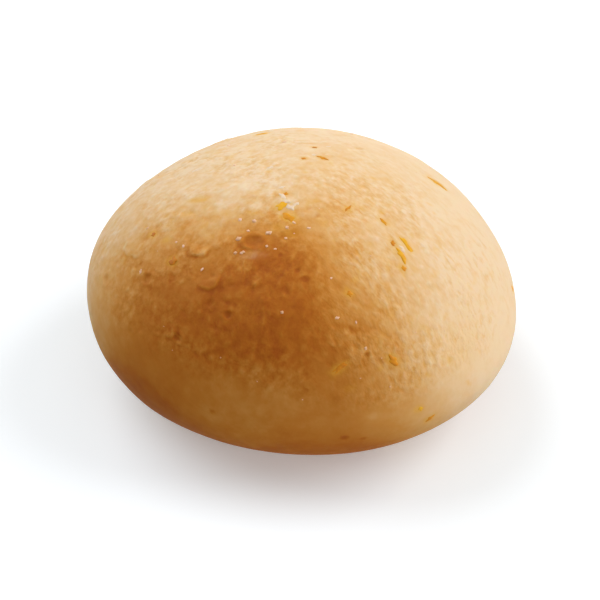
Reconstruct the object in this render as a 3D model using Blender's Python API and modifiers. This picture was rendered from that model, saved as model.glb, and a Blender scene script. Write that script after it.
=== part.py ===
"""A baked cheese roll: one low dome of bread, wider than it is tall, on a flat base.

The dome is an ellipse turned round an upright axis. Its crown leans towards the
front (-Y), its plan is a soft three-sided round, and one side of its belly bulges,
as a ball of dough does when it spreads in the oven. The origin is in the middle of
the base, +Z is up, and all lengths are in metres.
"""

import math

import bmesh
import bpy
import numpy as np
from mathutils import Matrix

# Driving dimensions, in metres
HALF_WIDTH = 0.028
WIDEST_HEIGHT = 0.400 * HALF_WIDTH
CROWN_RISE = 0.615 * HALF_WIDTH
BELLY_DROP = 0.575 * HALF_WIDTH
RIM_SOFTNESS = 0.050 * HALF_WIDTH
CROWN_LEAN = (-0.035 * HALF_WIDTH, -0.140 * HALF_WIDTH)

# The crown's soft point
PEAK_RISE = 0.020 * HALF_WIDTH
PEAK_WIDTH = math.radians(16)

# The three soft flanks, whose ridges meet at the crown
FLANKS = 3
RIDGE_AZIMUTH = math.radians(-45)
RIDGE_SHARE = 0.025
CROWN_RIDGE_SHARE = 0.025
CROWN_RIDGE_SPREAD = math.radians(38)

# The belly's bulge
BULGE_AZIMUTH = math.radians(-27)
BULGE_SHARE = 0.030
BULGE_HEIGHT = -0.10 * HALF_WIDTH
BULGE_SPREAD = 0.25 * HALF_WIDTH

# Swellings and dents in the dough: azimuth and tilt from the crown in degrees,
# spread in degrees, and rise as a share of the half width
SWELLINGS = (
    (-98, 50, 20, 0.012),
    (-140, 58, 16, -0.010),
    (170, 48, 17, 0.012),
    (-58, 74, 17, 0.010),
    (-18, 52, 19, -0.009),
    (34, 62, 18, -0.006),
    (72, 46, 18, -0.010),
    (112, 66, 21, 0.012),
    (148, 84, 16, -0.009),
    (-112, 92, 18, 0.008),
    (-75, 104, 15, -0.008),
    (-24, 94, 16, 0.009),
    (60, 100, 18, -0.006),
)

# The cage that the smooth surface is drawn from
CAGE_SEGMENTS = 36
CAGE_RINGS = 20
SMOOTH_LEVELS = 1

CRUST_COLOUR = (0.62, 0.34, 0.12, 1.0)
CRUST_ROUGHNESS = 0.55


def clear_scene():
    """Remove every object of the startup scene."""
    for obj in list(bpy.data.objects):
        bpy.data.objects.remove(obj, do_unlink=True)


def make_collection(name):
    """A new collection in the scene."""
    collection = bpy.data.collections.new(name)
    bpy.context.scene.collection.children.link(collection)
    return collection


def make_material(name, colour, roughness):
    """A Principled material with one colour and roughness."""
    material = bpy.data.materials.new(name)
    material.use_nodes = True
    material.diffuse_color = colour
    shader = material.node_tree.nodes["Principled BSDF"]
    shader.inputs["Base Color"].default_value = colour
    shader.inputs["Roughness"].default_value = roughness
    shader.inputs["Metallic"].default_value = 0.0
    return material


def flatten_below(height, softness):
    """Heights kept above zero: a parabola joins the slope to the flat, so the rim is round."""
    near = np.maximum(softness - np.abs(height), 0.0) / softness
    return np.maximum(height, 0.0) + near * near * softness / 4.0


def swelling_rise(directions):
    """How far the dough stands out in each direction: the sum of a few round bells."""
    rise = np.zeros(len(directions))
    for azimuth, tilt, spread, share in SWELLINGS:
        around, down = math.radians(azimuth), math.radians(tilt)
        centre = np.array(
            [math.sin(down) * math.cos(around), math.sin(down) * math.sin(around), math.cos(down)]
        )
        away = np.arccos(np.clip(directions @ centre, -1.0, 1.0))
        rise += share * np.exp(-0.5 * (away / math.radians(spread)) ** 2)
    return rise


def shape_roll(directions):
    """Points of the roll's surface, one for each direction out of a unit ball.

    A direction's tilt from +Z is the angle on the dome's ellipse, and its azimuth the
    angle round the axis. The radius swells with the ridges, the bulge and the
    swellings, and the crown slides sideways with the square of its height.
    """
    tilt = np.arccos(np.clip(directions[:, 2], -1.0, 1.0))
    azimuth = np.arctan2(directions[:, 1], directions[:, 0])
    upper = np.cos(tilt) > 0.0
    height = np.where(upper, CROWN_RISE, BELLY_DROP) * np.cos(tilt)
    height += PEAK_RISE * np.exp(-0.5 * (tilt / PEAK_WIDTH) ** 2)

    crown_share = CROWN_RIDGE_SHARE * np.exp(-0.5 * (tilt / CROWN_RIDGE_SPREAD) ** 2)
    ridges = (RIDGE_SHARE + crown_share) * np.cos(FLANKS * (azimuth - RIDGE_AZIMUTH))
    level = np.exp(-(((height - BULGE_HEIGHT) / BULGE_SPREAD) ** 2))
    bulge = BULGE_SHARE * level * np.cos(azimuth - BULGE_AZIMUTH)
    swelling = swelling_rise(directions)

    radius = HALF_WIDTH * np.sin(tilt) * (1.0 + ridges + bulge + swelling)
    height += HALF_WIDTH * swelling * np.maximum(np.cos(tilt), 0.0)
    lean = np.clip(height / CROWN_RISE, 0.0, 1.0) ** 2
    x = radius * np.cos(azimuth) + CROWN_LEAN[0] * lean
    y = radius * np.sin(azimuth) + CROWN_LEAN[1] * lean
    z = flatten_below(height + WIDEST_HEIGHT, RIM_SOFTNESS)
    return np.stack([x, y, z], axis=1)


def centre_on_base(obj):
    """Slide the mesh so that the middle of the finished roll's box is over the origin."""
    bpy.context.view_layer.update()
    finished = obj.evaluated_get(bpy.context.evaluated_depsgraph_get())
    surface = finished.to_mesh()
    points = np.empty(len(surface.vertices) * 3)
    surface.vertices.foreach_get("co", points)
    finished.to_mesh_clear()
    low, high = points.reshape(-1, 3).min(axis=0), points.reshape(-1, 3).max(axis=0)
    middle = (low + high) / 2.0
    shift = Matrix.Translation((-middle[0], -middle[1], -low[2]))
    obj.data.transform(shift)
    return high - low


def make_roll(name, material, collection):
    """The whole roll: a ball's cage set on the dome's formula, then smoothed."""
    ball = bmesh.new()
    bmesh.ops.create_uvsphere(ball, u_segments=CAGE_SEGMENTS, v_segments=CAGE_RINGS, radius=1.0)
    directions = np.array([vertex.co.normalized()[:] for vertex in ball.verts])
    for vertex, place in zip(ball.verts, shape_roll(directions)):
        vertex.co = place
    bmesh.ops.recalc_face_normals(ball, faces=ball.faces)
    mesh = bpy.data.meshes.new(name)
    ball.to_mesh(mesh)
    ball.free()
    mesh.shade_smooth()
    mesh.materials.append(material)

    roll = bpy.data.objects.new(name, mesh)
    collection.objects.link(roll)
    smooth = roll.modifiers.new("smooth", "SUBSURF")
    smooth.levels = SMOOTH_LEVELS
    smooth.render_levels = SMOOTH_LEVELS
    return roll


def main():
    clear_scene()
    collection = make_collection("cheese_roll")
    crust = make_material("crust", CRUST_COLOUR, CRUST_ROUGHNESS)
    roll = make_roll("cheese_bread", crust, collection)
    size = centre_on_base(roll)
    print("roll size in mm:", " x ".join(f"{side * 1000:.1f}" for side in size))


main()
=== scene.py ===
# %% [markdown]
# # A baked cheese roll
# This lesson builds the looks of one small cheese bread: a low dome of tapioca dough,
# browned on its front flank and painted with shade there as well, pale on its sides, with
# melted cheese in a finely grained crust. The imported solid gives the size and the place.
# One dense skin is laid over it, its relief is worked out as whole numpy arrays, and the
# cheese is set into it as small pieces of their own.

import math

import bpy
import numpy as np
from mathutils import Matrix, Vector


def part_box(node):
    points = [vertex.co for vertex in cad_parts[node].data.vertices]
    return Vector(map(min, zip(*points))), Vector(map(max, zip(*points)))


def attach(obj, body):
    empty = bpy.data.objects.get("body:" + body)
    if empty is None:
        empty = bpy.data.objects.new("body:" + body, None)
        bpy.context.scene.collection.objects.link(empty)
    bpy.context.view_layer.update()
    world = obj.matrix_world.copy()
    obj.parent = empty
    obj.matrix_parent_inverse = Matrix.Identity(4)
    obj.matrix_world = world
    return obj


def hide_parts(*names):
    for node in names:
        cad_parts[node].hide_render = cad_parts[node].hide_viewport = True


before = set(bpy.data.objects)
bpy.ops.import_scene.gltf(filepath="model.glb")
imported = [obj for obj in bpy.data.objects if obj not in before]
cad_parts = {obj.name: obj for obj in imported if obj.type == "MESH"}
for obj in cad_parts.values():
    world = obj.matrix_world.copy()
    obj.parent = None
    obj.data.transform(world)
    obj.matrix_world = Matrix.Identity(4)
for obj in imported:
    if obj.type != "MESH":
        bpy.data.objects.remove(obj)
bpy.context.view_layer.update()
roll_low, roll_high = (np.array(corner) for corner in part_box("cheese_bread"))
roll_size = roll_high - roll_low
roll_middle = (roll_high + roll_low) / 2.0
half_width = roll_size[0] / 2.0
MM = 0.001
print("roll in mm:", np.round(roll_size / MM, 1), "half width:", round(half_width / MM, 2))

# %% [markdown]
# ## The form of the dough
# A ball of soft dough spreads in the oven: it becomes a dome wider than it is tall, its
# crown leans a little, and three soft flanks meet at the crown. A sculpted mesh could
# show that, but a formula is easier to change, and it is the one that the solid was made
# with. Each direction out of a unit ball is sent to one point of the skin. All lengths
# here are shares of the half width.

# %% The dome's proportions
WIDEST_HEIGHT = 0.400
CROWN_RISE = 0.615
BELLY_DROP = 0.575
RIM_SOFTNESS = 0.050
CROWN_LEAN = (-0.035, -0.140)
PEAK_RISE, PEAK_WIDTH = 0.020, math.radians(16)
FLANKS, RIDGE_AZIMUTH = 3, math.radians(-45)
RIDGE_SHARE, CROWN_RIDGE_SHARE, CROWN_RIDGE_SPREAD = 0.025, 0.025, math.radians(38)
BULGE_AZIMUTH, BULGE_SHARE = math.radians(-27), 0.030
BULGE_HEIGHT, BULGE_SPREAD = -0.10, 0.25

# Swellings and dents: azimuth, tilt from the crown and spread in degrees, then the rise
SWELLINGS = (
    (-98, 50, 20, 0.012),
    (-140, 58, 16, -0.010),
    (170, 48, 17, 0.012),
    (-58, 74, 17, 0.010),
    (-18, 52, 19, -0.009),
    (34, 62, 18, -0.006),
    (72, 46, 18, -0.010),
    (112, 66, 21, 0.012),
    (148, 84, 16, -0.009),
    (-112, 92, 18, 0.008),
    (-75, 104, 15, -0.008),
    (-24, 94, 16, 0.009),
    (60, 100, 18, -0.006),
)


# %% Directions and round bells
def unit(vectors):
    """The same vectors, each brought to length 1."""
    return vectors / np.maximum(np.linalg.norm(vectors, axis=-1, keepdims=True), 1.0e-12)


def direction_of(azimuth, tilt):
    """Unit vectors at azimuths round +Z and tilts down from it, both in degrees."""
    around, down = np.radians(azimuth), np.radians(tilt)
    flat = np.sin(down)
    return np.stack([flat * np.cos(around), flat * np.sin(around), np.cos(down)], axis=-1)


def bell(directions, azimuth, tilt, spread):
    """A round bell: 1 in the given direction, falling as exp(-angle^2 / (2 spread^2))."""
    away = np.arccos(np.clip(directions @ direction_of(azimuth, tilt), -1.0, 1.0))
    return np.exp(-0.5 * (away / math.radians(spread)) ** 2)


def sum_of_bells(directions, rows):
    """Bells added up; each row is azimuth, tilt, spread in degrees, and strength."""
    return sum(strength * bell(directions, a, t, s) for a, t, s, strength in rows)


# %% The formula of the dome
def flatten_below(height, softness):
    """Heights kept above zero: a parabola joins the slope to the flat, for a round rim."""
    near = np.maximum(softness - np.abs(height), 0.0) / softness
    return np.maximum(height, 0.0) + near * near * softness / 4.0


def dome(directions):
    """The dough's smooth surface, one point for each direction.

    The tilt from +Z is the angle on an ellipse, taller above the widest ring than below
    it. The radius is the ellipse's, times 1 plus three cosine ridges, a bulge low on one
    side and the swellings. The crown slides with the square of its height.
    """
    tilt = np.arccos(np.clip(directions[:, 2], -1.0, 1.0))
    azimuth = np.arctan2(directions[:, 1], directions[:, 0])
    height = np.where(np.cos(tilt) > 0.0, CROWN_RISE, BELLY_DROP) * np.cos(tilt)
    height += PEAK_RISE * np.exp(-0.5 * (tilt / PEAK_WIDTH) ** 2)
    crown_share = CROWN_RIDGE_SHARE * np.exp(-0.5 * (tilt / CROWN_RIDGE_SPREAD) ** 2)
    ridges = (RIDGE_SHARE + crown_share) * np.cos(FLANKS * (azimuth - RIDGE_AZIMUTH))
    level = np.exp(-(((height - BULGE_HEIGHT) / BULGE_SPREAD) ** 2))
    bulge = BULGE_SHARE * level * np.cos(azimuth - BULGE_AZIMUTH)
    swelling = sum_of_bells(directions, SWELLINGS)
    radius = np.sin(tilt) * (1.0 + ridges + bulge + swelling)
    height += swelling * np.maximum(np.cos(tilt), 0.0)
    lean = np.clip(height / CROWN_RISE, 0.0, 1.0) ** 2
    x = radius * np.cos(azimuth) + CROWN_LEAN[0] * lean
    y = radius * np.sin(azimuth) + CROWN_LEAN[1] * lean
    return np.stack([x, y, flatten_below(height + WIDEST_HEIGHT, RIM_SOFTNESS)], axis=1)


# %% [markdown]
# ## A grid without poles
# A round skin drawn on rings and spokes gets thin slivers at its poles, where relief
# would pinch. So the grid is six square sheets, one for each face of a cube, blown up to
# a ball. Neighbouring sheets share their edge points, which are merged by their whole
# number places on the cube, so the skin is one closed surface. The grid is then drawn
# up towards the crown, where the crust is roughest and needs the smallest cells.

# %% The cube's six sheets, blown up to a ball
SHEET_CELLS = 128
TOP_CROWDING = 0.33


def ball_grid(cells):
    """Unit directions and four-sided faces of a cube's surface blown up to a ball.

    Each sheet has (cells + 1)^2 points (u, v), evenly spread from -45 to 45 degrees. A
    point is (tan u, tan v, 1), turned to its side of the cube and brought to length 1.
    """
    steps = np.arange(cells + 1)
    u, v = np.meshgrid(steps, steps, indexing="ij")
    top = np.full_like(u, cells)
    corner = (u[:-1, :-1] * (cells + 1) + v[:-1, :-1]).ravel()
    quads = np.stack([corner, corner + cells + 1, corner + cells + 2, corner + 1], axis=1)
    places, faces = [], []
    for axis in range(3):
        for side in (0, cells):
            sheet = np.stack([u, v, top if side else top * 0], axis=-1).reshape(-1, 3)
            places.append(np.roll(sheet, axis + 1, axis=1))
            faces.append((quads if side else quads[:, ::-1]) + len(faces) * (cells + 1) ** 2)
    places, index = np.unique(np.concatenate(places), axis=0, return_inverse=True)
    angles = (places / cells - 0.5) * (math.pi / 2.0)
    return unit(np.tan(angles)), index.reshape(-1)[np.concatenate(faces)]


def crowd_to_top(directions, share):
    """Each tilt T becomes T - share sin T: cells shrink round the crown and grow below."""
    tilt = np.arccos(np.clip(directions[:, 2], -1.0, 1.0))
    moved = tilt - share * np.sin(tilt)
    flat = unit(directions[:, :2]) * np.sin(moved)[:, None]
    return np.concatenate([flat, np.cos(moved)[:, None]], axis=1)


directions, skin_faces = ball_grid(SHEET_CELLS)
directions = crowd_to_top(directions, TOP_CROWDING)
tilts = np.degrees(np.arccos(np.clip(directions[:, 2], -1.0, 1.0)))
print("skin points:", len(directions), "triangles:", 2 * len(skin_faces))

# %% Fit the dome to the solid
smooth_skin = dome(directions)
skin_low, skin_high = smooth_skin.min(axis=0), smooth_skin.max(axis=0)
skin_scale = roll_size / (skin_high - skin_low)
skin_shift = roll_low - skin_low * skin_scale


def roll_points(toward):
    """Points of the dough's smooth surface in metres, in the given directions."""
    return dome(toward) * skin_scale + skin_shift


def roll_normals(toward, step=1.0e-3):
    """Outward normals: the cross product of two short steps along the surface."""
    side = unit(np.cross(toward, np.array([0.31, 0.74, 0.60])))
    other = np.cross(toward, side)
    here = roll_points(toward)
    along = [roll_points(unit(toward + step * move)) - here for move in (side, other)]
    normal = unit(np.cross(along[0], along[1]) / (step * half_width) ** 2)
    return normal * np.sign(np.sum(normal * toward, axis=1, keepdims=True))


smooth_points = roll_points(directions)
normals = roll_normals(directions)
print("skin scale in mm:", np.round(skin_scale / MM, 2), "normals up:", round(normals[:, 2].max(), 2))

# %% [markdown]
# ## Noise made of whole arrays
# Crust relief comes in layers, from wide dents to fine grain. Each layer is a smooth
# random field in space: every whole-number cell has its own random slope, and a point
# between cells blends the slopes of the eight corners around it. Nothing is drawn from
# a random generator, so each run gives the same roll.


# %% Random numbers for cells, and a smooth field between them
def cell_random(cells, seed):
    """A repeatable number from 0 to 1 for each cell: its whole-number place is multiplied
    by large odd numbers, then folded on itself by shifts until no pattern is left."""
    mixed = cells[..., 0] * 73856093 ^ cells[..., 1] * 19349663 ^ cells[..., 2] * 83492791
    mixed = (mixed ^ (seed * 40503 + 1013)) & 0xFFFFFFFF
    for _ in range(2):
        mixed = ((mixed ^ (mixed >> 16)) * 0x45D9F3B) & 0xFFFFFFFF
    return (mixed ^ (mixed >> 16)) / 2.0**32


def soft_noise(points, size, seed):
    """A smooth field from about -1 to 1 that changes over lengths of size.

    At each corner of a point's cell stands a random slope. Its height at the point is
    slope . offset, and the eight heights are blended by 6t^5 - 15t^4 + 10t^3.
    """
    scaled = points / size
    base = np.floor(scaled).astype(np.int64)
    offset = scaled - base
    fade = offset**3 * (offset * (offset * 6.0 - 15.0) + 10.0)
    total = np.zeros(len(points))
    for corner in np.ndindex(2, 2, 2):
        cell = base + np.array(corner)
        slope = np.stack([cell_random(cell, seed * 3 + k) for k in range(3)], axis=1) * 2.0 - 1.0
        weight = np.prod(np.where(np.array(corner) == 1, fade, 1.0 - fade), axis=1)
        total += weight * np.sum(slope * (offset - np.array(corner)), axis=1)
    return total * 1.6


def layered_noise(points, size, seed, layers=3, share=0.5):
    """Soft noise added up in layers, each half the size and share of the strength."""
    parts = [share**k * soft_noise(points, size * 0.5**k, seed + 17 * k) for k in range(layers)]
    return sum(parts) / sum(share**k for k in range(layers))


# %% Scattered round spots
def spot_field(points, size, seed, chance):
    """Distance to the nearest spot as a share of size, and that spot's random number.

    Each cell may hold one spot at a random place in it; a spot exists where its own
    random number is below chance. The 27 cells around a point are searched.
    """
    scaled = points / size
    base = np.floor(scaled).astype(np.int64)
    nearest = np.full(len(points), 9.0)
    number = np.zeros(len(points))
    for step in np.ndindex(3, 3, 3):
        cell = base + np.array(step) - 1
        place = cell + np.stack([cell_random(cell, seed + k) for k in (1, 2, 3)], axis=1)
        away = np.linalg.norm(scaled - place, axis=1)
        away = np.where(cell_random(cell, seed) < chance, away, 9.0)
        number = np.where(away < nearest, cell_random(cell, seed + 4), number)
        nearest = np.minimum(nearest, away)
    return nearest, number


def stretch_along(points, axis, factor):
    """Points squeezed along an axis, so that a noise read there looks stretched along it."""
    axis = unit(np.array(axis))
    return points - (1.0 - 1.0 / factor) * (points @ axis)[:, None] * axis


def smooth_step(low, high, value):
    """0 below low, 1 above high, and 3t^2 - 2t^3 between; with low above high it falls."""
    share = np.clip((value - low) / (high - low), 0.0, 1.0)
    return share * share * (3.0 - 2.0 * share)


# %% [markdown]
# ## Where the crust is rough
# The top of the roll dried first, so it is grainy. The belly stayed moist and smooth.
# The border between the two wanders round the roll, and a smooth band runs up the right
# side. This share, from 0 to 1, later drives both the relief and the finish.

# %% The rough cap and the smooth belly
# The tilt where the cap ends, how far that goes up and down, and the side it is lowest on
CAP_EDGE, CAP_WANDER, CAP_LOW_SIDE = 68.0, 10.0, -62.0
# Smooth spots inside the cap: azimuth, tilt, spread in degrees, strength
SMOOTH_PLACES = ((38, 46, 13, 0.75), (12, 62, 12, 0.75), (70, 40, 12, 0.5), (172, 44, 12, 0.35))
azimuths = np.arctan2(directions[:, 1], directions[:, 0])
cap_edge = CAP_EDGE + CAP_WANDER * np.cos(azimuths - math.radians(CAP_LOW_SIDE))
cap_edge += 9.0 * layered_noise(smooth_points, 9 * MM, seed=3)
rough_cap = smooth_step(10.0, -10.0, tilts - cap_edge)
rough_cap *= 1.0 - np.clip(sum_of_bells(directions, SMOOTH_PLACES), 0.0, 0.8)
underside = smooth_step(112.0, 128.0, tilts)
print("rough share of the skin:", round(float(rough_cap.mean()), 2))

# %% [markdown]
# ## Relief of the crust
# Several layers shape the skin along its normals: wide unevenness, lumps, creases,
# streaky grain, pores and tiny bumps. They could be a displacement texture, but then the
# exported mesh would be smooth, so the points themselves are moved. Reliefs are in
# millimetres. Grain runs along one slanting axis at the right and another at the left,
# because the dough was stretched that way as it rose.

# %% Lumps, creases and grain
STREAK_AXIS = (0.55, -0.70, -0.45)
EDGE_STREAK_AXIS = (0.42, 0.80, 0.42)
STREAK_STRETCH, EDGE_STREAK_STRETCH = 1.9, 1.3
WIDE_RISE, LUMP_RISE, CREASE_DEPTH, GRAIN_RISE = 0.16, 0.100, 0.050, 0.090
CREASE_WIDTH = 0.055
right_share = smooth_step(-0.10, 0.25, smooth_points[:, 0] / half_width)

wide = WIDE_RISE * layered_noise(smooth_points, 13 * MM, seed=11, layers=2)
lumps = LUMP_RISE * layered_noise(smooth_points, 3.4 * MM, seed=23, layers=3, share=0.6)
fold_noise = layered_noise(smooth_points, 4.6 * MM, seed=31, layers=2)
crease_share = smooth_step(0.1, 0.45, layered_noise(smooth_points, 5 * MM, seed=37))
creases = -CREASE_DEPTH * np.exp(-((fold_noise / CREASE_WIDTH) ** 2)) * crease_share
streaks_right = stretch_along(smooth_points, STREAK_AXIS, STREAK_STRETCH)
streaks_left = stretch_along(smooth_points, EDGE_STREAK_AXIS, EDGE_STREAK_STRETCH)
grain_right = layered_noise(streaks_right, 0.80 * MM, seed=41, layers=2)
grain_left = layered_noise(streaks_left, 1.10 * MM, seed=43, layers=2)
grain = right_share * grain_right + 0.9 * (1.0 - right_share) * grain_left
grain_patches = smooth_step(-0.35, 0.35, layered_noise(smooth_points, 5 * MM, seed=47, layers=2))
grain_share = rough_cap * (0.45 + 0.75 * grain_patches)

relief = wide + rough_cap * (lumps * (1.0 - 0.3 * right_share) + creases)
relief += GRAIN_RISE * grain_share * grain
relief += (1.0 - rough_cap) * (0.25 * lumps + 0.010 * grain)
print("relief so far in mm:", round(relief.min(), 3), "to", round(relief.max(), 3))


# %% Pores and tiny bumps
def scattered_bowls(size, seed, chance, radius):
    """Round bowls (1 - (r / R)^2)^2 at scattered spots; radius and size are in mm."""
    away, number = spot_field(smooth_points, size * MM, seed, chance)
    reach = radius / size * (0.6 + 0.8 * number)
    bowl = np.clip(1.0 - (away / reach) ** 2, 0.0, 1.0) ** 2
    return bowl * (0.5 + number)


PORE_DEPTH, LARGE_PORE_DEPTH, BUMP_RISE = 0.085, 0.110, 0.075
small_pores = scattered_bowls(1.7, 51, 0.50, 0.42)
large_pores = scattered_bowls(4.4, 61, 0.35, 0.70)
tiny_bumps = scattered_bowls(1.4, 71, 0.50, 0.40)
relief -= (0.2 + 0.8 * rough_cap) * PORE_DEPTH * small_pores
relief += rough_cap * (BUMP_RISE * tiny_bumps - LARGE_PORE_DEPTH * large_pores)
print("pores cover:", round(float((small_pores + large_pores > 0.1).mean()), 3))


# %% [markdown]
# ## Single marks
# Some marks are large enough to be known one by one: overlapping folds of skin left of
# the crown, a burst blister with a raised rim, craters, toasted spots and stains of
# melted cheese. Each is placed by its azimuth and tilt and has its own size in
# millimetres. The dark spots are small dents and the pale ones small bumps, as on real
# crust, where only what stands proud stays pale and dry.

# %% Distances over the skin
# A share by which the edge of each mark wavers
spot_wobble = 1.0 + 0.30 * soft_noise(smooth_points, 0.9 * MM, seed=83)


def distance_mm(azimuth, tilt, squash=1.0, turn=0.0):
    """Distance over the skin from a place, in mm, and the angle round it.

    Two axes lie in the skin there, one turned by turn degrees from level. Distances along
    the second are multiplied by squash, which makes a round mark oval.
    """
    centre = direction_of(azimuth, tilt)[None, :]
    place, normal = roll_points(centre)[0], roll_normals(centre)[0]
    level = unit(np.cross([0.0, 0.0, 1.0], normal))
    upward = np.cross(normal, level)
    angle = math.radians(turn)
    first = level * math.cos(angle) + upward * math.sin(angle)
    second = upward * math.cos(angle) - level * math.sin(angle)
    away = (smooth_points - place) / MM
    a, b = away @ first, (away @ second) * squash
    depth = away @ normal
    return np.sqrt(a * a + b * b + depth * depth), np.arctan2(b, a)


def oval_spot(azimuth, tilt, radius, squash, turn):
    """A soft-edged oval with a wavering edge: exp(-(r / R)^3)."""
    distance, _ = distance_mm(azimuth, tilt, squash, turn)
    return np.exp(-((distance / (radius * spot_wobble)) ** 3))


def ring(distance, radius, width):
    """A raised circle: exp(-((r - R) / width)^2)."""
    return np.exp(-(((distance - radius) / width) ** 2))


# %% Craters and burst blisters
# azimuth, tilt, radius mm, rim height mm, dish depth mm, squash, turn
CRATERS = (
    (-121, 21, 1.60, 0.10, 0.06, 1.50, 16),
    (-149, 49, 0.80, 0.10, 0.13, 1.00, 0),
    (-71, 60, 0.45, 0.10, 0.16, 1.00, 0),
    (-114, 48, 0.70, 0.06, 0.10, 1.20, 30),
    (-127, 62, 0.80, 0.10, 0.18, 1.30, -30),
    (-162, 63, 0.90, 0.07, 0.09, 1.10, 0),
    (58, 34, 0.75, 0.07, 0.11, 1.10, 15),
    (118, 52, 1.20, 0.10, 0.14, 1.25, 40),
    (84, 70, 0.80, 0.07, 0.11, 1.00, 0),
    (150, 62, 0.90, 0.07, 0.10, 1.20, 0),
)
# The dish's radius and the rim's width, as shares of a crater's radius
DISH_SHARE, RIM_SHARE = 0.72, 0.24
crater_dish = np.zeros(len(directions))
for azimuth, tilt, radius, rim, depth, squash, turn in CRATERS:
    distance, _ = distance_mm(azimuth, tilt, squash, turn)
    dish = np.exp(-((distance / (radius * DISH_SHARE * spot_wobble)) ** 4))
    relief += rim * ring(distance, radius * spot_wobble, radius * RIM_SHARE) - depth * dish
    crater_dish = np.maximum(crater_dish, dish)
print("craters:", len(CRATERS), "relief in mm:", round(relief.min(), 3), "to", round(relief.max(), 3))

# %% Overlapping folds of skin
# azimuth, tilt, radius mm, step mm, the side it opens to in degrees
SKIN_FOLDS = (
    (-144, 30, 1.35, 0.20, -50),
    (-128, 38, 1.40, 0.20, -50),
    (-96, 40, 2.2, 0.08, -110),
    (-167, 44, 2.4, 0.10, -60),
    (-122, 56, 2.8, 0.08, -90),
    (-131, 60, 1.0, 0.14, -20),
    (-121, 21, 1.25, 0.10, -140),
    (86, 34, 2.6, 0.12, 60),
    (140, 50, 3.0, 0.12, 100),
)
# In mm from a fold's edge: where its step ends and starts, and its painted shadow and highlight lines
STEP_OUT, STEP_IN = 0.20, 0.16
SHADOW_LINE, SHADOW_WIDTH, HIGHLIGHT_LINE, HIGHLIGHT_WIDTH = 0.32, 0.22, 0.10, 0.20
fold_shade_and_highlight = np.zeros(len(directions))
for azimuth, tilt, radius, step, opening in SKIN_FOLDS:
    distance, around = distance_mm(azimuth, tilt)
    distance *= 0.5 + 0.5 * spot_wobble
    facing = smooth_step(-0.1, 0.8, np.cos(around - math.radians(opening)))
    pillow = facing * smooth_step(radius + STEP_OUT, radius - STEP_IN, distance)
    relief += step * pillow * smooth_step(-0.2 * radius, radius, distance)
    # A painted shadow in the crease outside the fold's edge and a painted highlight on its lip
    shadow = ring(distance, radius + SHADOW_LINE, SHADOW_WIDTH)
    highlight_edge = ring(distance, radius - HIGHLIGHT_LINE, HIGHLIGHT_WIDTH)
    fold_shade_and_highlight += step * facing * (1.4 * shadow - 1.3 * highlight_edge)
print("folds:", len(SKIN_FOLDS), "relief in mm:", round(relief.min(), 3), "to", round(relief.max(), 3))

# %% Toasted spots and pale bumps
# azimuth, tilt, radius mm, squash, turn, browning (below 0: a pale bump)
TOASTED_SPOTS = (
    (-85, 32, 0.42, 1.1, 0, 0.80), (-88, 29, 0.30, 1.2, 40, 0.65), (-98, 24, 0.26, 1.0, 0, 0.38),
    (-94, 36, 0.60, 2.0, -50, 0.22), (-83, 38, 0.30, 1.5, 50, 0.16), (-98, 48, 1.45, 1.5, 60, 0.15),
    (-105, 44, 0.55, 1.2, 0, 0.13), (-95, 46, 0.24, 1.0, 0, 0.30), (-122, 32, 0.48, 1.2, 70, 0.18),
    (-121, 40, 0.52, 1.5, 20, 0.26), (-120, 32, 0.24, 1.0, 0, 0.25), (-128, 60, 0.60, 1.7, -24, 0.30),
    (-116, 44, 0.42, 1.3, 10, 0.22), (-113, 44, 0.32, 1.0, 0, 0.28), (-114, 48, 0.48, 1.2, 0, 0.17),
    (-111, 36, 0.45, 1.1, 0, 0.14), (-109, 58, 0.85, 1.4, 30, 0.14), (-114, 62, 0.75, 1.2, 30, 0.14),
    (-98, 54, 0.80, 1.2, 20, 0.10), (-95, 58, 0.48, 1.3, 0, 0.16), (-85, 56, 0.55, 1.6, -40, 0.14),
    (-141, 38, 0.30, 1.2, 30, 0.20), (-136, 39, 0.32, 1.5, -40, 0.22), (-152, 45, 0.30, 1.0, 0, 0.20),
    (-156, 47, 0.42, 2.0, 80, 0.20), (-145, 51, 0.28, 1.0, 0, 0.20), (-82, 44, 0.32, 1.0, 0, 0.15),
    (-91, 42, 0.28, 1.0, 0, 0.15), (-113, 88, 0.34, 1.3, 30, 0.32), (-88, 72, 0.32, 1.6, 0, 0.26),
    (-79, 96, 0.52, 1.3, 16, 0.40), (-74, 98, 0.44, 1.6, 6, 0.26), (-73, 50, 0.95, 2.2, -30, 0.16),
    (-91, 16, 1.20, 2.0, 8, 0.26), (-121, 21, 1.50, 1.5, 16, 0.34), (-70, 60, 0.24, 1.0, 0, 0.30),
    (-134, 40, 0.32, 1.4, 20, -0.14), (-137, 43, 0.36, 1.3, 28, -0.14), (-149, 57, 0.32, 1.2, 0, -0.14),
    (-116, 42, 0.30, 1.0, 0, -0.14), (-121, 46, 0.34, 1.2, 60, -0.14), (-124, 50, 0.32, 1.3, 20, -0.12),
    (-126, 64, 0.34, 1.4, -10, -0.30), (-90, 72, 0.40, 1.4, 0, -0.12), (-82, 58, 0.36, 1.1, 0, -0.14),
    (-71, 58, 0.45, 1.1, 0, -0.12), (-116, 25, 0.90, 2.8, 18, -0.14), (-72, 85, 0.80, 1.6, 14, -0.12),
)
SPOT_DEPTH = 0.16
spot_browning = np.zeros(len(directions))
for azimuth, tilt, radius, squash, turn, strength in TOASTED_SPOTS:
    spot = oval_spot(azimuth, tilt, radius, squash, turn)
    spot_browning += strength * spot
    relief -= SPOT_DEPTH * strength * spot
print("spots:", len(TOASTED_SPOTS), "relief in mm:", round(relief.min(), 3), "to", round(relief.max(), 3))

# %% [markdown]
# ## Grated cheese in the crust
# Shreds of cheese near the surface melt into golden drops and bars, and fresh curd
# stays whitish. Both are pieces of their own, made further down. Their places come first,
# because the crust round each one is stained gold by its fat.

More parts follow.
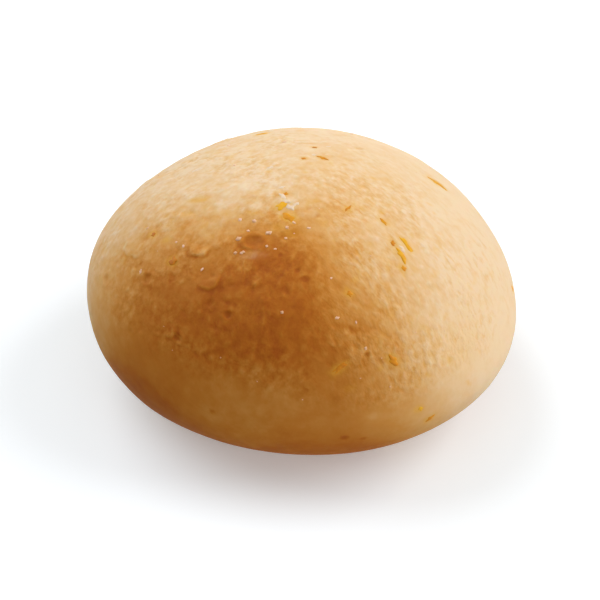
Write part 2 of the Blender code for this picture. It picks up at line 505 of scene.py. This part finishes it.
# %% Places of the cheese
# azimuth, tilt, half length and half width in mm, height in mm, turn, toast (0 yellow, 1 orange)
CHEESE_FLECKS = (
    (-118, 6, 0.88, 0.66, 0.24, 48, 0.40), (-95, 10, 1.05, 0.70, 0.24, -36, 0.70),
    (-28, 33, 1.25, 0.42, 0.22, 60, 0.45), (-36, 34, 1.05, 0.44, 0.22, 68, 0.50),
    (-32, 30, 0.42, 0.36, 0.16, 4, 0.85), (27, 50, 1.25, 0.62, 0.10, 48, 0.55),
    (68, 20, 0.72, 0.40, 0.16, -12, 0.70), (-19, 25, 0.70, 0.30, 0.15, 54, 0.70),
    (-41, 37, 0.46, 0.30, 0.13, 70, 0.65), (-68, 38, 0.46, 0.30, 0.14, -68, 0.75),
    (-57, 95, 0.60, 0.38, 0.14, 30, 0.75), (-60, 87, 0.38, 0.28, 0.11, -8, 0.40),
    (-64, 64, 0.76, 0.46, 0.18, -52, 0.75), (-147, 39, 0.58, 0.52, 0.14, 34, 1.00),
    (-166, 39, 0.36, 0.32, 0.12, 48, 0.95), (-18, 15, 0.66, 0.20, 0.13, -24, 0.80),
    (-79, 64, 1.10, 0.30, 0.12, 34, 0.85), (-160, 2, 0.46, 0.32, 0.14, -42, 0.75),
    (81, 18, 0.38, 0.30, 0.10, 12, 0.85), (78, 26, 0.32, 0.30, 0.11, 20, 0.90),
    (104, 44, 1.00, 0.44, 0.15, 20, 0.40), (136, 66, 0.66, 0.52, 0.14, -30, 0.75),
    (62, 72, 0.90, 0.38, 0.14, 60, 0.50), (-8, 82, 0.50, 0.38, 0.12, -50, 0.65),
    (164, 78, 0.80, 0.34, 0.13, 75, 0.40), (92, 88, 0.46, 0.42, 0.13, 10, 0.85),
)
# azimuth, tilt, half length and half width in mm, height in mm, turn
CURD_BITS = (
    (-149, 3, 0.66, 0.40, 0.16, -14), (-93, 6, 0.56, 0.42, 0.16, -50), (-32, 33, 0.62, 0.30, 0.14, 62),
    (-79, 5, 0.44, 0.32, 0.13, 24), (-109, 4, 0.46, 0.36, 0.14, 20), (138, 4, 0.36, 0.28, 0.11, 0),
    (113, 15, 0.40, 0.34, 0.10, 0), (71, 28, 0.34, 0.30, 0.08, 30), (75, 21, 0.34, 0.28, 0.08, 0),
    (100, 47, 0.55, 0.36, 0.11, 30), (146, 34, 0.60, 0.46, 0.11, -20), (40, 78, 0.50, 0.36, 0.10, 0),
)
# azimuth, tilt, radius mm, squash, turn, share of gold
GOLD_STAINS = (
    (178, 25, 1.55, 2.8, 76, 0.55), (-161, 18, 1.40, 1.2, 60, 0.25), (-145, 12, 0.75, 1.3, 46, 0.35),
    (-171, 28, 1.60, 3.0, 62, 0.25), (-159, 36, 0.80, 1.8, 44, 0.45), (72, 10, 0.40, 1.3, 26, 0.35),
    (119, 13, 0.65, 2.0, -30, 0.45), (29, 25, 0.95, 3.0, 60, 0.35), (-9, 24, 0.60, 1.2, 0, 0.40),
    (12, 19, 0.34, 1.4, 0, 0.45), (8, 40, 0.55, 1.5, 84, 0.30), (2, 41, 0.38, 1.3, 0, 0.30),
    (-23, 36, 0.45, 1.2, 0, 0.30), (-14, 42, 1.00, 3.5, 52, 0.30), (-68, 66, 0.55, 2.2, 70, 0.35),
    (-56, 74, 0.50, 1.8, 64, 0.35), (-63, 34, 0.50, 1.5, 40, 0.30), (-91, 16, 1.20, 1.9, 8, 0.25),
    (-104, 14, 1.10, 1.6, 10, 0.25), (-50, 68, 0.90, 2.4, 60, 0.25), (-121, 21, 1.45, 1.5, 16, 0.12),
    (128, 30, 1.30, 2.0, 10, 0.35), (88, 58, 0.90, 1.6, 40, 0.30), (152, 48, 1.10, 2.2, 70, 0.30),
    (-49, 61, 1.00, 2.6, 28, 0.30), (-49, 72, 1.10, 2.4, -78, 0.45), (-56, 74, 0.70, 2.2, -46, 0.35),
    (-43, 58, 0.70, 2.4, 20, 0.32), (-45, 86, 0.70, 3.0, -62, 0.45), (-77, 72, 0.90, 1.8, 6, 0.20),
    (-43, 38, 0.90, 3.2, 68, 0.40), (-19, 44, 1.60, 7.0, 62, 0.32), (-27, 58, 0.80, 3.0, -82, 0.28),
)
# The long thin patch at azimuth -175, tilt 44 is a painted highlight line, the others are pale crust
# azimuth, tilt, radius mm, squash, turn, paleness
PALE_PATCHES = (
    (162, 15, 2.2, 1.6, -76, 0.55), (-169, 19, 1.5, 1.7, 72, 0.35), (168, 31, 2.0, 1.6, 84, 0.40),
    (-112, 4, 1.5, 1.3, 20, 0.50), (-64, 9, 1.2, 1.5, 0, 0.25), (140, 20, 1.2, 1.4, 0, 0.30),
    (60, 30, 1.2, 1.6, 30, 0.25), (-32, 33, 1.3, 1.7, 62, 0.30), (-115, 26, 1.50, 2.6, 22, 0.16),
    (-155, 10, 1.4, 1.6, 40, 0.40), (173, 16, 1.2, 1.5, -74, 0.35), (-175, 44, 1.8, 5.0, -46, 0.40),
)

# %% Fat stains and pale patches
# How far the gold reaches past a fleck's end and side in mm, and how strong it is
HALO_END, HALO_SIDE, HALO_GOLD = 0.30, 0.28, 0.6
PALE_RISE = 0.14
gold = np.zeros(len(directions))
for azimuth, tilt, length, width, _, turn, _ in CHEESE_FLECKS:
    reach = length + HALO_END
    squash = reach / (width + HALO_SIDE)
    gold = np.maximum(gold, HALO_GOLD * oval_spot(azimuth, tilt, reach, squash, turn))
for azimuth, tilt, radius, squash, turn, share in GOLD_STAINS:
    gold = np.maximum(gold, share * oval_spot(azimuth, tilt, radius, squash, turn))
pale = np.zeros(len(directions))
for azimuth, tilt, radius, squash, turn, share in PALE_PATCHES:
    pale = np.maximum(pale, share * oval_spot(azimuth, tilt, radius, squash, turn))
pale_noise = layered_noise(smooth_points, 1.0 * MM, seed=97, layers=2)
pale *= 0.35 + 0.65 * smooth_step(-0.15, 0.2, pale_noise)
relief += PALE_RISE * pale
print("skin stained gold:", round(float((gold > 0.1).mean()), 3))
print("skin left pale:", round(float((pale > 0.1).mean()), 3))

# %% [markdown]
# ## Browning and painted shade
# The front flank is browner, in soft blotches that run into each other, and the right side
# and the back are pale. Part of that is browning from dry heat, and part is painted shade
# of the flank that faces away from the lights. A map of brownness and shade from 0 to 1 is
# a sum of round bells, broken up by noise. The material turns it into colour. The belly's
# lowest edge touched the hot tray, so it has a darker rim, which also holds painted shade
# where the belly turns under.

# %% Where the roll browned and where shade is painted
# Bells on the front flank and low on its rim are partly browning and partly painted shade
# azimuth, tilt, spread in degrees, strength
BROWNING_AND_SHADE_BELLS = (
    (-101, 61, 21, 1.51),
    (-149, 67, 16, 0.43),
    (-100, 66, 15, -0.75),
    (-93, 129, 24, 1.30),
    (-102, 24, 12, 0.46),
    (-147, 42, 11, 0.32),
    (-138, 98, 16, 0.66),
    (2, 20, 23, 0.21),
    (30, 42, 20, -0.05),
    (112, 30, 24, 0.05),
    (165, 80, 28, 0.14),
    (-57, 88, 19, 0.22),
    (-80, 76, 13, 0.12),
    (-58, 45, 11, 0.12),
    (-140, 122, 16, 0.20),
    (178, 9, 10, -0.12),
    (-162, 24, 11, 0.15),
    (-110, 12, 8, 0.12),
    (-101, 50, 9, 0.28),
    (-160, 80, 11, -0.15),
    (-140, 104, 10, 0.40),
    (-80, 112, 10, 0.42),
    (-102, 110, 9, -0.08),
    (-106, 86, 12, -0.05),
    (-52, 66, 15, -0.08),
    (-38, 86, 16, -0.20),
    (-58, 40, 8, -0.06),
    (12, 22, 10, 0.05),
    (8, 36, 11, -0.06),
    (-20, 60, 12, -0.08),
    (-106, 46, 9, 0.12),
    (-142, 20, 8, -0.08),
    (-128, 28, 12, 0.04),
    (-96, 26, 6, 0.08),
)
# A flank where the fat tinted the crust: azimuth, tilt, spread in degrees, share of gold
GOLD_FLANK = ((-46, 71, 7, 0.26), (-34, 60, 10, 0.08))

# %% Brownness and painted shade of the skin
# The rim's brownness with its painted shade, the tilts where it starts and is full, and its wavering in
# degrees
RIM_BROWN_AND_SHADE, TRAY_START, TRAY_FULL, TRAY_WANDER = 0.70, 97.0, 121.0, 8.0
BLOTCHES = 0.12
BROWNEST = 1.25
browning_and_shade = np.clip(sum_of_bells(directions, BROWNING_AND_SHADE_BELLS), 0.0, 1.05)
tray_edge = tilts + TRAY_WANDER * layered_noise(smooth_points, 8 * MM, seed=93)
browning_and_shade = np.maximum(browning_and_shade, RIM_BROWN_AND_SHADE * smooth_step(TRAY_START, TRAY_FULL, tray_edge))
browning_and_shade += BLOTCHES * layered_noise(smooth_points, 5 * MM, seed=91, layers=3, share=0.75)
# Painted shade and light: darker in pores, crater dishes, creases and the folds' shadow lines, paler on
# tiny bumps and the folds' highlight lines
browning_and_shade += rough_cap * (0.10 * small_pores + 0.10 * large_pores - 0.14 * tiny_bumps)
browning_and_shade += 0.9 * fold_shade_and_highlight + spot_browning + 0.12 * crater_dish - 0.8 * rough_cap * creases
browning_and_shade = np.clip(browning_and_shade, 0.0, BROWNEST)
fat_spots = smooth_step(0.05, 0.55, layered_noise(smooth_points, 1.6 * MM, seed=99, layers=2))
gold = np.maximum(gold, 0.22 * fat_spots * rough_cap * smooth_step(0.75, 0.35, browning_and_shade))
gold = np.maximum(gold, sum_of_bells(directions, GOLD_FLANK))
print("mean browning:", round(float(browning_and_shade.mean()), 2), "of at most", round(float(browning_and_shade.max()), 2))

# %% [markdown]
# ## The skin as a mesh
# The relief moves each point along its normal. It fades out on the underside, which
# baked flat on the tray, so nothing pokes through the surface that the roll stands on.


# %% Turn arrays into a mesh
def mesh_piece(name, points, faces, values=None):
    """An object at the origin whose mesh has these points, faces and point values."""
    mesh = bpy.data.meshes.new(name)
    mesh.vertices.add(len(points))
    mesh.vertices.foreach_set("co", np.asarray(points, np.float32).ravel())
    corners = faces.shape[1]
    mesh.loops.add(faces.size)
    mesh.loops.foreach_set("vertex_index", np.asarray(faces, np.int32).ravel())
    mesh.polygons.add(len(faces))
    mesh.polygons.foreach_set("loop_start", np.arange(0, faces.size, corners, dtype=np.int32))
    mesh.update(calc_edges=True)
    for label, numbers in (values or {}).items():
        layer = mesh.attributes.new(label, "FLOAT", "POINT")
        layer.data.foreach_set("value", np.asarray(numbers, np.float32))
    mesh.validate()
    mesh.shade_smooth()
    piece = bpy.data.objects.new(name, mesh)
    bpy.context.scene.collection.objects.link(piece)
    return piece


lift = relief * MM * (1.0 - 0.92 * underside)
skin_points = smooth_points + normals * lift[:, None]
skin_points[:, 2] = np.maximum(skin_points[:, 2], roll_low[2])
skin_values = {
    "browning_and_shade": browning_and_shade,
    "grain_share": grain_share,
    "right_share": right_share,
    "gold": gold,
    "pale": pale,
}
crust = mesh_piece("crust", skin_points, skin_faces, skin_values)
print("crust box in mm:", [round(v / MM, 2) for v in crust.dimensions])


# %% [markdown]
# ## Small pieces set into the crust
# A drop of cheese, a bit of curd and a bead of starch are all one shape: a ball squashed
# to a lens, sunk by part of its height, with a wavering outline. A real drop could be
# sculpted, but a formula lets one call make a whole handful. Each kind is one joined
# mesh on the same grid as the skin, only much coarser.

# %% A handful of lenses
def skin_frames(azimuth, tilt):
    """For each place: the skin's point there, and the level, upward and outward axes."""
    nearest = np.argmax(direction_of(azimuth, tilt) @ directions.T, axis=1)
    outward = normals[nearest]
    level = unit(np.cross([0.0, 0.0, 1.0], outward))
    return skin_points[nearest], level, np.cross(outward, level), outward


def lenses(name, rows, cells, sink, wave, seed):
    """One mesh of squashed balls; each row is azimuth, tilt, length, width, height, turn.

    A ball's direction (x, y, z) goes to (L x, W y, H z). L and W first swell by wave times
    slow cosines of the angle round the middle, which differ from ball to ball, long ones
    bend a little, and dividing by r^0.25 makes the sides steep and the top flat. The ball
    sinks into the skin by sink times H.
    """
    azimuth, tilt, length, width, height, turn = (np.asarray(c, float) for c in zip(*rows))
    ball, faces = ball_grid(cells)
    count = len(rows)
    numbers = np.stack([np.arange(count), np.arange(count) * 7 + 1, np.full(count, seed)], axis=1)
    phase = [2.0 * math.pi * cell_random(numbers, seed + k)[:, None] for k in range(3)]
    around = np.arctan2(ball[:, 1], ball[:, 0])[None, :]
    swell = 1.0 + wave * (np.cos(2.0 * around + phase[0]) + np.cos(4.0 * around + phase[1]))
    swell += 0.6 * wave * np.cos(5.0 * around + phase[2])
    blunt = swell * np.maximum(np.hypot(ball[:, 0], ball[:, 1]), 0.2)[None, :] ** -0.25
    x = length[:, None] * blunt * ball[None, :, 0]
    bend = 0.15 * np.sin(phase[0]) * (x / length[:, None]) ** 2
    y = width[:, None] * (blunt * ball[None, :, 1] + bend)
    z = height[:, None] * (ball[None, :, 2] - sink)
    place, level, upward, outward = skin_frames(azimuth, tilt)
    angle = np.radians(turn)[:, None]
    first = level * np.cos(angle) + upward * np.sin(angle)
    second = upward * np.cos(angle) - level * np.sin(angle)
    points = place[:, None, :] + MM * (
        x[..., None] * first[:, None, :]
        + y[..., None] * second[:, None, :]
        + z[..., None] * outward[:, None, :]
    )
    joined = (faces[None, :, :] + np.arange(count)[:, None, None] * len(ball)).reshape(-1, 4)
    print(name, "count:", count, "triangles:", 2 * len(joined))
    return points.reshape(-1, 3), joined, len(ball)


# %% Cheese flecks and curd
fleck_points, fleck_faces, fleck_size = lenses(
    "cheese_flecks", [row[:6] for row in CHEESE_FLECKS], cells=8, sink=0.50, wave=0.17, seed=5
)
toast = np.repeat([row[6] for row in CHEESE_FLECKS], fleck_size)
cheese_flecks = mesh_piece("cheese_flecks", fleck_points, fleck_faces, {"toast": toast})
curd_points, curd_faces, _ = lenses("curd_bits", CURD_BITS, cells=8, sink=0.55, wave=0.20, seed=6)
curd_bits = mesh_piece("curd_bits", curd_points, curd_faces)

# %% [markdown]
# ## Beads of starch with a painted glint
# Steam pushed tiny beads of clear starch out of the crust, and they dried shiny. A few
# round the crown and the folds are large enough to place one by one. The rest are strewn
# over the rough cap, where the share of roughness decides which of them stay.

# %% Beads, placed and strewn
# azimuth, tilt, radius mm
PLACED_BEADS = (
    (-130, 22, 0.36), (-112, 17, 0.34), (-144, 16, 0.26), (-134, 14, 0.26), (-130, 18, 0.20),
    (-125, 27, 0.22), (-121, 26, 0.26), (-109, 22, 0.18), (-171, 40, 0.18), (-150, 33, 0.20),
    (-155, 34, 0.17), (-134, 36, 0.20), (-153, 49, 0.24), (-95, 44, 0.20), (-76, 46, 0.22),
    (-73, 32, 0.15), (-70, 48, 0.15), (-96, 18, 0.18), (-103, 22, 0.16), (-70, 58, 0.20),
    (-96, 14, 0.24), (-87, 12, 0.22), (-73, 14, 0.20),
    (95, 30, 0.22), (120, 41, 0.24), (148, 52, 0.20), (70, 50, 0.22), (134, 24, 0.24),
)
STREWN_BEADS = 30
BEAD_MIN, BEAD_MAX = 0.07, 0.12

tries = np.arange(4 * STREWN_BEADS)
seeds = np.stack([tries, tries * 3 + 5, tries * 0 + 2], axis=1)
azimuth = 360.0 * cell_random(seeds, 201) - 180.0
tilt = np.degrees(np.arccos(1.0 - 0.85 * cell_random(seeds, 202)))
roughness_there = rough_cap[np.argmax(direction_of(azimuth, tilt) @ directions.T, axis=1)]
kept = np.nonzero(cell_random(seeds, 203) < 0.8 * roughness_there)[0][:STREWN_BEADS]
radius = BEAD_MIN + (BEAD_MAX - BEAD_MIN) * cell_random(seeds, 204) ** 2
strewn = [(azimuth[i], tilt[i], radius[i], 0.8 * radius[i], 0.7 * radius[i], 0.0) for i in kept]
placed = [(a, t, 1.20 * r, 0.90 * r, 0.7 * r, 40.0 * i) for i, (a, t, r) in enumerate(PLACED_BEADS)]
bead_rows = placed + strewn
bead_points, bead_faces, _ = lenses("glint_beads", bead_rows, cells=4, sink=0.40, wave=0.16, seed=7)
glint_beads = mesh_piece("glint_beads", bead_points, bead_faces)

# %% [markdown]
# ## A crust material
# Baked dough is matte and a little see-through at its surface, so light goes in and
# comes out warmer. A Principled shader with some subsurface gives that. The colour is a
# ramp over brownness, which also holds painted shade, and fine noise breaks it up along
# the same streaks as the relief: what stands proud is cream, and the gaps between are gold.

# %% Small helpers for node trees
def add_node(tree, kind, **settings):
    """A new node with its settings; a setting that names an input sets that input."""
    node = tree.nodes.new(kind)
    for name, value in settings.items():
        if hasattr(node, name):
            setattr(node, name, value)
        else:
            node.inputs[name].default_value = value
    return node


def join(tree, value, socket):
    """Link a socket into an input, or set the input to a number or a colour."""
    if hasattr(value, "is_linked"):
        tree.links.new(value, socket)
    else:
        socket.default_value = value


def calc(tree, operation, first, second, clamp=False):
    """A Math node; each operand is a socket or a number."""
    node = add_node(tree, "ShaderNodeMath", operation=operation, use_clamp=clamp)
    join(tree, first, node.inputs[0])
    join(tree, second, node.inputs[1])
    return node.outputs["Value"]


def centred(tree, value, strength):
    """A noise from 0 to 1 moved to lie round 0, times a strength."""
    return calc(tree, "MULTIPLY", calc(tree, "SUBTRACT", value, 0.5), strength)


def ramp_node(tree, source, stops):
    """A colour ramp over a socket; stops are (position, colour) pairs."""
    node = add_node(tree, "ShaderNodeValToRGB")
    elements = node.color_ramp.elements
    while len(elements) < len(stops):
        elements.new(0.5)
    for element, (position, colour) in zip(elements, stops):
        element.position = position
        element.color = (*colour, 1.0)
    tree.links.new(source, node.inputs["Fac"])
    return node.outputs["Color"]


def mix_colour(tree, share, first, second):
    """A Mix node for colours: the share of the second laid over the first."""
    node = add_node(tree, "ShaderNodeMix", data_type="RGBA")
    join(tree, share, node.inputs[0])
    join(tree, first, node.inputs[6])
    join(tree, (*second, 1.0), node.inputs[7])
    return node.outputs[2]


def attribute(tree, name):
    """The value of one of the piece's own point attributes."""
    return add_node(tree, "ShaderNodeAttribute", attribute_name=name).outputs["Fac"]


# %% Streaky noise in the crust's own space
def streak_noise(tree, axis, stretch, scale, detail):
    """Noise on Object coordinates, stretched along an axis by a Mapping node."""
    place = add_node(tree, "ShaderNodeTexCoord")
    mapping = add_node(tree, "ShaderNodeMapping", vector_type="TEXTURE")
    along = unit(np.array(axis))
    turn = (0.0, -math.asin(along[2]), math.atan2(along[1], along[0]))
    mapping.inputs["Rotation"].default_value = turn
    mapping.inputs["Scale"].default_value = (stretch, 1.0, 1.0)
    noise = add_node(tree, "ShaderNodeTexNoise", Scale=scale, Detail=detail, Roughness=0.6)
    tree.links.new(place.outputs["Object"], mapping.inputs["Vector"])
    tree.links.new(mapping.outputs["Vector"], noise.inputs["Vector"])
    return noise.outputs["Fac"]


# %% The crust's colours
# Each stop is a share of the brownest crust and the colour there
CRUST_STOPS = (
    (0.00, (0.80, 0.60, 0.385)),
    (0.16, (0.755, 0.50, 0.255)),
    (0.32, (0.70, 0.388, 0.132)),
    (0.48, (0.63, 0.285, 0.059)),
    (0.64, (0.54, 0.200, 0.022)),
    (0.80, (0.465, 0.140, 0.008)),
    (1.00, (0.38, 0.092, 0.004)),
)
MELTED_GOLD = (0.76, 0.40, 0.040)
# The pale patches' cream, which also colours their painted highlight line
CURD_CREAM_AND_HIGHLIGHT = (0.84, 0.69, 0.49)
GRAIN_BUMP = 0.125 * MM
STREAKS_PER_METRE, EDGE_STREAKS_PER_METRE = 1400.0, 1120.0
MOTTLES_PER_METRE, MOTTLE_STRETCH = 420.0, 1.3


def crust_material():
    """Matte baked crust: a ramp over brownness and painted shade, streaky mottling and a grain bump."""
    material = bpy.data.materials.new("baked_crust")
    material.use_nodes = True
    tree = material.node_tree
    shader = tree.nodes["Principled BSDF"]
    brown_and_shade, rough = attribute(tree, "browning_and_shade"), attribute(tree, "grain_share")

    either_grain = add_node(tree, "ShaderNodeMix", data_type="FLOAT")
    left = streak_noise(tree, EDGE_STREAK_AXIS, EDGE_STREAK_STRETCH, EDGE_STREAKS_PER_METRE, 2.0)
    right = streak_noise(tree, STREAK_AXIS, STREAK_STRETCH, STREAKS_PER_METRE, 2.0)
    join(tree, attribute(tree, "right_share"), either_grain.inputs[0])
    join(tree, left, either_grain.inputs[2])
    join(tree, right, either_grain.inputs[3])
    grain = either_grain.outputs[0]
    mottle = streak_noise(tree, STREAK_AXIS, MOTTLE_STRETCH, MOTTLES_PER_METRE, 3.0)
    mottling = calc(tree, "SUBTRACT", 0.44, calc(tree, "MULTIPLY", attribute(tree, "right_share"), 0.20))

    level = calc(tree, "ADD", brown_and_shade, centred(tree, mottle, mottling))
    grain_share = calc(tree, "ADD", calc(tree, "MULTIPLY", rough, -0.70), -0.08)
    level = calc(tree, "ADD", level, centred(tree, grain, grain_share))
    level = calc(tree, "DIVIDE", level, BROWNEST, clamp=True)
    colour = ramp_node(tree, level, CRUST_STOPS)
    colour = mix_colour(tree, attribute(tree, "gold"), colour, MELTED_GOLD)
    colour = mix_colour(tree, attribute(tree, "pale"), colour, CURD_CREAM_AND_HIGHLIGHT)
    join(tree, colour, shader.inputs["Base Color"])

    roughness = calc(tree, "SUBTRACT", 0.78, calc(tree, "MULTIPLY", grain, 0.20))
    join(tree, roughness, shader.inputs["Roughness"])
    shader.inputs["Subsurface Weight"].default_value = 0.30
    shader.inputs["Subsurface Radius"].default_value = (1.0, 0.42, 0.16)
    shader.inputs["Subsurface Scale"].default_value = 0.8 * MM
    shader.inputs["IOR"].default_value = 1.45
    shader.inputs["Specular IOR Level"].default_value = 0.20

    fine = add_node(tree, "ShaderNodeBump", Strength=1.0, Distance=GRAIN_BUMP)
    join(tree, calc(tree, "MULTIPLY", grain, calc(tree, "ADD", rough, 0.12)), fine.inputs["Height"])
    join(tree, fine.outputs["Normal"], shader.inputs["Normal"])
    return material


crust.data.materials.append(crust_material())
print("crust nodes:", len(crust.active_material.node_tree.nodes))

# %% [markdown]
# ## Cheese, curd and beads
# Melted cheese is glossy and deeper in colour where it is thick. Curd is dry and whitish.
# Beads of starch are smooth and let some light in, and their colour, paler than the crust,
# is a painted glint. All three are Principled shaders with fine noise in their colour, and
# only the cheese reads an attribute: how toasted it is.

# %% Materials of the small pieces
CHEESE_STOPS = (
    (0.00, (0.82, 0.50, 0.050)),
    (0.45, (0.78, 0.38, 0.012)),
    (0.75, (0.68, 0.26, 0.008)),
    (1.00, (0.52, 0.160, 0.006)),
)
CURD_STOPS = ((0.30, (0.76, 0.55, 0.38)), (0.70, (0.83, 0.67, 0.50)))
# The beads' colour, paler than the crust, is a painted glint beside their real gloss
BEAD_GLINT_STOPS = ((0.35, (0.70, 0.39, 0.20)), (0.65, (0.88, 0.57, 0.41)))
CLOUDS_PER_METRE, GRAINS_PER_METRE = 1500.0, 3000.0
SMALL_BUMP = 0.03 * MM


def small_piece_material(name, stops, roughness, specular, toast=None):
    """A soft, slightly see-through food finish: noise, and toast if given, pick the colour."""
    material = bpy.data.materials.new(name)
    material.use_nodes = True
    tree = material.node_tree
    shader = tree.nodes["Principled BSDF"]
    cloud = streak_noise(tree, STREAK_AXIS, 1.2, CLOUDS_PER_METRE, 2.0)
    if toast:
        cloud = calc(tree, "ADD", attribute(tree, toast), centred(tree, cloud, 0.7), clamp=True)
    join(tree, ramp_node(tree, cloud, stops), shader.inputs["Base Color"])
    shader.inputs["Roughness"].default_value = roughness
    shader.inputs["Specular IOR Level"].default_value = specular
    shader.inputs["Subsurface Weight"].default_value = 0.12
    shader.inputs["Subsurface Radius"].default_value = (1.0, 0.5, 0.2)
    shader.inputs["Subsurface Scale"].default_value = 0.08 * MM
    fine = add_node(tree, "ShaderNodeBump", Strength=1.0, Distance=SMALL_BUMP)
    join(tree, streak_noise(tree, STREAK_AXIS, 1.0, GRAINS_PER_METRE, 1.0), fine.inputs["Height"])
    join(tree, fine.outputs["Normal"], shader.inputs["Normal"])
    return material


melted_cheese = small_piece_material("melted_cheese", CHEESE_STOPS, 0.50, 0.20, "toast")
cheese_flecks.data.materials.append(melted_cheese)
curd_bits.data.materials.append(small_piece_material("dry_curd", CURD_STOPS, 0.60, 0.25))
glint_beads.data.materials.append(small_piece_material("starch_bead_painted_glint", BEAD_GLINT_STOPS, 0.32, 0.30))
print("finishes:", [material.name for material in bpy.data.materials if material.users])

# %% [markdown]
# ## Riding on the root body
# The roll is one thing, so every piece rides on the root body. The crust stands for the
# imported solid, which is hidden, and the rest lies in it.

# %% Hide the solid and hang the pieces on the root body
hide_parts("cheese_bread")
for piece in (crust, cheese_flecks, curd_bits, glint_beads):
    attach(piece, "root")

# %% [markdown]
# ## Floor, light and camera
# A pale floor and a pale sky make a plain studio. Two broad suns stand at the right and
# behind, so the front flank lies in its own soft shade. A third, warm one comes from
# below the front, in place of the light that a bright table sends back. For that the
# floor lets light through and sends none back itself, and the sky is dim below the
# horizon. A lamp close by would light the roll unevenly, so all the lights are far away.

# %% Floor
# The paper is a little blue, because the warm roll and the warm light would tint it
PAPER_COLOUR, PAPER_GLOW = (0.88, 0.93, 0.97, 1.0), 0.23
FLOOR_HALF = 30.0 * half_width
FLOOR_CORNERS = np.array([(-1, -1, 0), (1, -1, 0), (1, 1, 0), (-1, 1, 0)])
floor = mesh_piece("floor", FLOOR_CORNERS * FLOOR_HALF, np.array([(0, 1, 2, 3)]))
paper = bpy.data.materials.new("floor_paper")
paper.use_nodes = True
paper_shader = paper.node_tree.nodes["Principled BSDF"]
paper_shader.inputs["Base Color"].default_value = PAPER_COLOUR
paper_shader.inputs["Roughness"].default_value = 0.9
paper_shader.inputs["Emission Color"].default_value = (1.0, 1.0, 1.0, 1.0)
paper_shader.inputs["Emission Strength"].default_value = PAPER_GLOW
floor.data.materials.append(paper)
floor.visible_diffuse = False
floor.visible_shadow = False
print("floor half side in mm:", round(FLOOR_HALF / MM))

# %% Sky
# Strengths: as the camera sees it, and as light from above and from below the horizon
SKY_SEEN, SKY_ABOVE, SKY_BELOW = 1.0, 0.33, 0.03
world = bpy.data.worlds.new("studio")
bpy.context.scene.world = world
world.use_nodes = True
sky = world.node_tree
sky.nodes.clear()
rays = add_node(sky, "ShaderNodeLightPath")
seen = add_node(sky, "ShaderNodeBackground", Color=(1.0, 1.0, 1.0, 1.0), Strength=SKY_SEEN)
lighting = add_node(sky, "ShaderNodeBackground", Color=(1.0, 1.0, 1.0, 1.0))
toward = add_node(sky, "ShaderNodeSeparateXYZ")
place = add_node(sky, "ShaderNodeTexCoord")
sky.links.new(place.outputs["Generated"], toward.inputs["Vector"])
height = add_node(sky, "ShaderNodeMapRange", interpolation_type="SMOOTHSTEP")
join(sky, -0.5, height.inputs["From Min"])
join(sky, 0.5, height.inputs["From Max"])
join(sky, SKY_BELOW, height.inputs["To Min"])
join(sky, SKY_ABOVE, height.inputs["To Max"])
sky.links.new(toward.outputs["Z"], height.inputs["Value"])
sky.links.new(height.outputs["Result"], lighting.inputs["Strength"])
either = add_node(sky, "ShaderNodeMixShader")
out = add_node(sky, "ShaderNodeOutputWorld")
sky.links.new(rays.outputs["Is Camera Ray"], either.inputs["Fac"])
sky.links.new(lighting.outputs["Background"], either.inputs[1])
sky.links.new(seen.outputs["Background"], either.inputs[2])
sky.links.new(either.outputs["Shader"], out.inputs["Surface"])


# %% Lights
def aim_at(obj, place, target):
    """Put an object at a place, looking at a target along its own -Z."""
    obj.location = place
    obj.rotation_mode = "QUATERNION"
    obj.rotation_quaternion = (Vector(target) - Vector(place)).to_track_quat("-Z", "Y")


def add_sun(name, azimuth, elevation, strength, spread, colour=(1.0, 1.0, 1.0)):
    """A distant light from an azimuth and elevation in degrees; spread softens its shadow."""
    light = bpy.data.lights.new(name, "SUN")
    light.energy = strength
    light.color = colour
    light.angle = math.radians(spread)
    lamp = bpy.data.objects.new(name, light)
    bpy.context.scene.collection.objects.link(lamp)
    toward = direction_of(azimuth, 90.0 - elevation)
    aim_at(lamp, roll_middle + toward * 10.0 * half_width, roll_middle)


add_sun("window", 15, 32, 2.1, 50)
add_sun("back_glow", 140, 38, 1.95, 60)
add_sun("table_glow", -58, -10, 1.45, 90, (1.0, 0.94, 0.84))
print("suns:", [light.name for light in bpy.data.lights if light.users])

# %% [markdown]
# ## The camera's place
# The eye is nine half widths away, which gives the same slight perspective as a small
# roll seen from near. The lens is then picked so that the roll fills its share of the
# picture, and the aim lies a little below and left of the roll's middle.

# %% Camera
VIEW_ELEVATION = 39.3
VIEW_DISTANCE = 9.0
SENSOR_MM = 36.0
PICTURE_WIDTH = 2.808
AIM_HEIGHT, AIM_DROP, AIM_LEFT = 0.5, 0.152, 0.0068
camera_data = bpy.data.cameras.new("camera")
camera_data.sensor_width = SENSOR_MM
camera_data.lens = SENSOR_MM * VIEW_DISTANCE / PICTURE_WIDTH
camera_data.clip_start = 0.01
camera_data.clip_end = 100.0
camera = bpy.data.objects.new("camera", camera_data)
bpy.context.scene.collection.objects.link(camera)
bpy.context.scene.camera = camera
view_back = direction_of(-90, 90.0 - VIEW_ELEVATION)
view_up = direction_of(90, VIEW_ELEVATION)
aim = np.array([-AIM_LEFT, 0.0, AIM_HEIGHT]) - AIM_DROP * view_up
aim_at(camera, (aim + view_back * VIEW_DISTANCE) * half_width, aim * half_width)
bpy.context.scene.view_settings.view_transform = "Standard"
print("lens in mm:", round(camera_data.lens, 1))
